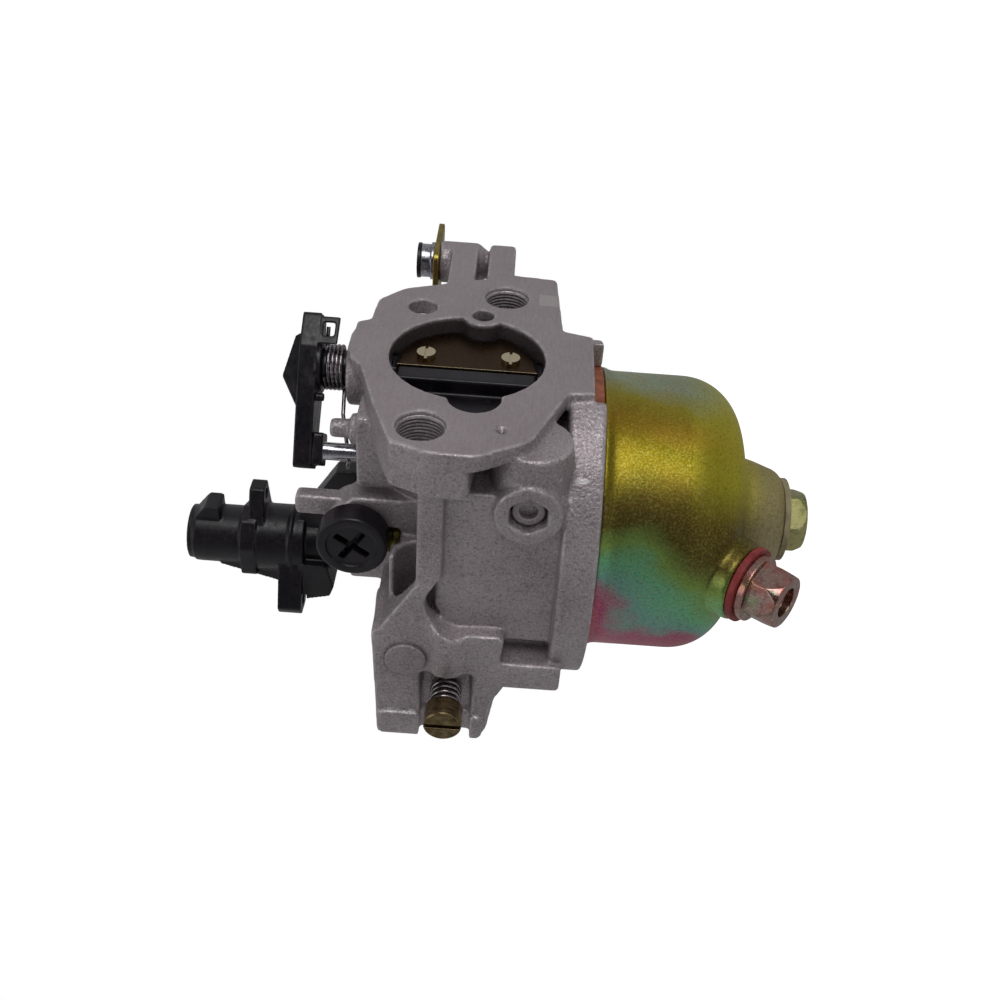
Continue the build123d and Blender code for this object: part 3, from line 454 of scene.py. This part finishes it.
STEEL = (srgb(150, 150, 156), srgb(206, 206, 212))
FINISHES = {
    "cast_body": cast_metal,
    "cast_plug": lambda n: cast_metal(n, 0.5),
    "bowl_zinc": bowl_metal,
    "bolt_zinc": lambda n: zinc(n, [srgb(150, 158, 100), srgb(186, 182, 120), srgb(196, 190, 140)], 0.32),
    "drain_zinc": lambda n: zinc(n, [srgb(166, 142, 100), srgb(182, 122, 114), srgb(176, 150, 140),
                                     srgb(150, 168, 126)], 0.24),
    "gold_zinc": lambda n: zinc(n, [srgb(120, 112, 44), srgb(156, 142, 60), srgb(150, 110, 60)], 0.30,
                                throat_shade=0.94),
    "screw_zinc": lambda n: zinc(n, [srgb(214, 92, 34), srgb(206, 150, 40), srgb(222, 104, 48)], 0.22,
                                 throat_shade=0.20),
    "screw_steel": lambda n: bright_metal(n, *STEEL, 0.24),
    "pin_steel": lambda n: bright_metal(n, *STEEL, 0.20, (0.2, 2.0, 2.0)),
    "spring_steel": lambda n: bright_metal(n, srgb(118, 112, 116), srgb(178, 172, 176), 0.22),
    "brass": lambda n: bright_metal(n, srgb(118, 108, 58), srgb(164, 154, 96), 0.28, (0.4, 0.4, 3.0)),
    "dark_brass": lambda n: bright_metal(n, srgb(96, 80, 54), srgb(150, 132, 96), 0.32, (3.0, 0.4, 0.4)),
    "black_plastic": lambda n: plastic(n, (0.0035, 0.0018, 0.0042), 0.34, 0.14),
    "float_plastic": lambda n: plastic(n, (0.035, 0.034, 0.036), 0.45, 0.2),
    "gasket_rubber": lambda n: rubber(n, srgb(180, 108, 82)),
    "needle_rubber": lambda n: rubber(n, srgb(44, 40, 40)),
    "washer_fibre": lambda n: rubber(n, srgb(176, 164, 128), 0.7, (0.3, 1.0, 2.0)),
    "washer_red": lambda n: rubber(n, srgb(168, 62, 62), 0.45),
}


def paint_nodes():
    """Gives each CAD node the finish of its slot in the record."""
    ready = {}
    for entry in frame["record"]["subparts"]:
        slot = entry["material_slot"]
        if slot not in ready:
            ready[slot] = FINISHES[slot](slot)
        mesh = NODES[entry["node"]].data
        if mesh.materials:
            mesh.materials[0] = ready[slot]
        else:
            mesh.materials.append(ready[slot])
    return ready


# ---------------------------------------------------------------- shapes

# How each node's edges are eased: the size of the new skin's cells in mm, and the rounds of smoothing.
SKINS = {
    "body_casting": (0.33, 9),
    "float_bowl": (0.36, 20),
    "bowl_bolt": (0.14, 3),
    "drain_plug": (0.14, 3),
    "drain_washer": (0.14, 3),
    "choke_lever": (0.20, 4),
    "throttle_lever": (0.20, 4),
    "bracket_cap": (0.12, 3),
    "bracket_plate": (0.16, 3),
    "bracket_washer": (0.12, 2),
    "bracket_screw": (0.12, 2),
    "hex_plug": (0.14, 4),
    "round_plug": (0.14, 3),
    "throttle_stop_screw": (0.14, 3),
    "mixture_screw": (0.12, 2),
    "pilot_jet": (0.12, 2),
    "fuel_inlet": (0.16, 3),
    "choke_plate": (0.16, 2),
}


def ease_edges(node, cell_mm, rounds):
    skin = NODES[node].modifiers.new("skin", "REMESH")
    skin.mode = "VOXEL"
    skin.voxel_size = cell_mm * MM
    skin.use_smooth_shade = True
    relax = NODES[node].modifiers.new("relax", "SMOOTH")
    relax.factor = 0.5
    relax.iterations = rounds


def lathe(name, centre, along, outline):
    """A closed ring turned about an axis from an outline of (distance along it, radius), in mm."""
    mesh = bpy.data.meshes.new(name)
    work = bmesh.new()
    turn = Vector((0, 0, 1)).rotation_difference(Vector(along)).to_matrix()
    rings = []
    for step in range(TURN_STEPS):
        angle = 2 * math.pi * step / TURN_STEPS
        way = Vector((math.cos(angle), math.sin(angle), 0))
        rings.append([work.verts.new((turn @ (way * r + Vector((0, 0, d))) + Vector(centre)) * MM)
                      for d, r in outline])
    for step, ring in enumerate(rings):
        after = rings[(step + 1) % TURN_STEPS]
        for i in range(len(outline)):
            j = (i + 1) % len(outline)
            work.faces.new((ring[i], ring[j], after[j], after[i])).smooth = True
    bmesh.ops.recalc_face_normals(work, faces=work.faces)
    work.to_mesh(mesh)
    piece = bpy.data.objects.new(name, mesh)
    bpy.context.collection.objects.link(piece)
    return piece


def dress(piece, body, slot):
    piece.data.materials.append(READY[slot])
    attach(piece, body)


def thread_outline(radius, wall, start, end, pitch, depth):
    """Ridges on the inside of a sleeve, closed by a plain wall behind them."""
    points = []
    place = start
    while place + pitch <= end:
        points += [(place, radius), (place + pitch * 0.35, radius), (place + pitch * 0.5, radius - depth),
                   (place + pitch * 0.85, radius - depth)]
        place += pitch
    return points + [(place, radius), (place, radius + wall), (start, radius + wall)]


def add_threads():
    """The bore marks inside the two stud holes."""
    outline = thread_outline(MARK_R, MARK_WALL, MARK_START, MARK_END, MARK_PITCH, MARK_DEPTH)
    for name, x, z in STUD_HOLES:
        dress(lathe(name, (x, INLET_Y, z), (0, 1, 0), outline), "casting", "cast_body")


# ---------------------------------------------------------------- build

bpy.context.scene.view_settings.view_transform = "Standard"
add_camera()
add_world()
add_floor()
for NAME, WAY, DISTANCE, WIDTH, POWER in LIGHTS:
    add_light(NAME, Vector(WAY).normalized() * DISTANCE + MIDDLE, MIDDLE, WIDTH, POWER)
READY = paint_nodes()
for NODE, SKIN in SKINS.items():
    ease_edges(NODE, *SKIN)
add_threads()
